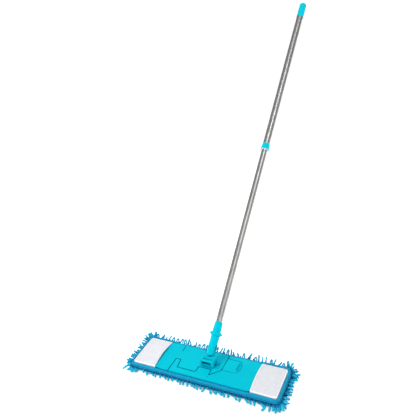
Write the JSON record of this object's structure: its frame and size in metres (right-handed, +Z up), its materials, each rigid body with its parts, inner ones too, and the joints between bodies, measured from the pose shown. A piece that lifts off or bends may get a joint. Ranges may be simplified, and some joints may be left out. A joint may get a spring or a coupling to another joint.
{
  "type": "flat mop",
  "caption": "Flat mop with a telescopic pole, a two-way swivel and a folding plastic plate that carries a blue chenille pad with white end pockets.",
  "frame": {"origin": "on the floor under the middle of the plate, on the pad's underside", "axes": "+X along the plate, +Y the side the pole leans to, +Z up"},
  "size_m": [0.452, 1.1024, 0.849],
  "materials": {
    "aqua_plastic": "satin moulded turquoise",
    "steel": "plain",
    "tube": "satin",
    "white_nylon": "matte",
    "chenille": "chenille loops",
    "blue_cloth": "woven edging",
    "white_cloth": "woven"
  },
  "bodies": {
    "upper_pole": {"outer_tube": "tube", "end_cap": "aqua_plastic", "lock_collar": "aqua_plastic", "guide_bush": "white_nylon"},
    "expander": {"grip_ring": "white_nylon"},
    "lower_pole": {"cam_core": "white_nylon", "cam_disc": "white_nylon", "inner_tube": "tube", "ferrule": "aqua_plastic", "wing_ring": "aqua_plastic", "handle_socket": "aqua_plastic", "swing_pin": "aqua_plastic"},
    "swivel": {"swivel_block": "aqua_plastic"},
    "left_side": {"left_wing": "aqua_plastic", "hub_bracket": "aqua_plastic", "hub_stud_left": "aqua_plastic", "hub_stud_right": "aqua_plastic", "tilt_pin": "steel", "fold_pin": "steel", "pile_left": "chenille", "backing_left": "blue_cloth", "hem_left": "blue_cloth", "pocket_left": "white_cloth", "pad_fold": "chenille"},
    "right_side": {"right_wing": "aqua_plastic", "tab_pin": "steel", "tab_spring": "steel", "pile_right": "chenille", "backing_right": "blue_cloth", "hem_right": "blue_cloth", "pocket_right": "white_cloth"},
    "tab": {"release_tab": "aqua_plastic"}
  },
  "joints": [
    {"name": "pole_slide", "type": "slide", "parent": "upper_pole", "child": "expander", "axis": [0, 0.781, 0.6246], "range_m": [0, 0.5]},
    {"name": "pole_twist", "type": "hinge", "parent": "expander", "child": "lower_pole", "pos_m": [0, 0.009, 0.0329], "axis": [0, 0.781, 0.6246], "range_deg": [0, 90]},
    {"name": "handle_swing", "type": "hinge", "parent": "lower_pole", "child": "swivel", "pos_m": [0, 0.02306, 0.04414], "axis": [0, 0.6246, -0.781], "range_deg": [-75, 75]},
    {"name": "handle_tilt", "type": "hinge", "parent": "swivel", "child": "left_side", "pos_m": [0, 0.009, 0.0329], "axis": [1, 0, 0], "range_deg": [-57, 36]},
    {"name": "plate_fold", "type": "hinge", "parent": "left_side", "child": "right_side", "pos_m": [0, 0, 0.0135], "axis": [0, 1, 0], "range_deg": [0, 90], "deforming": ["pad_fold"]},
    {"name": "tab_press", "type": "hinge", "parent": "right_side", "child": "tab", "pos_m": [0.06, 0.0163, 0.0156], "axis": [0, 1, 0], "range_deg": [0, 6], "stiffness_Nm_per_rad": 0.6, "springref_deg": -2.86, "deforming": ["tab_spring"]}
  ]
}
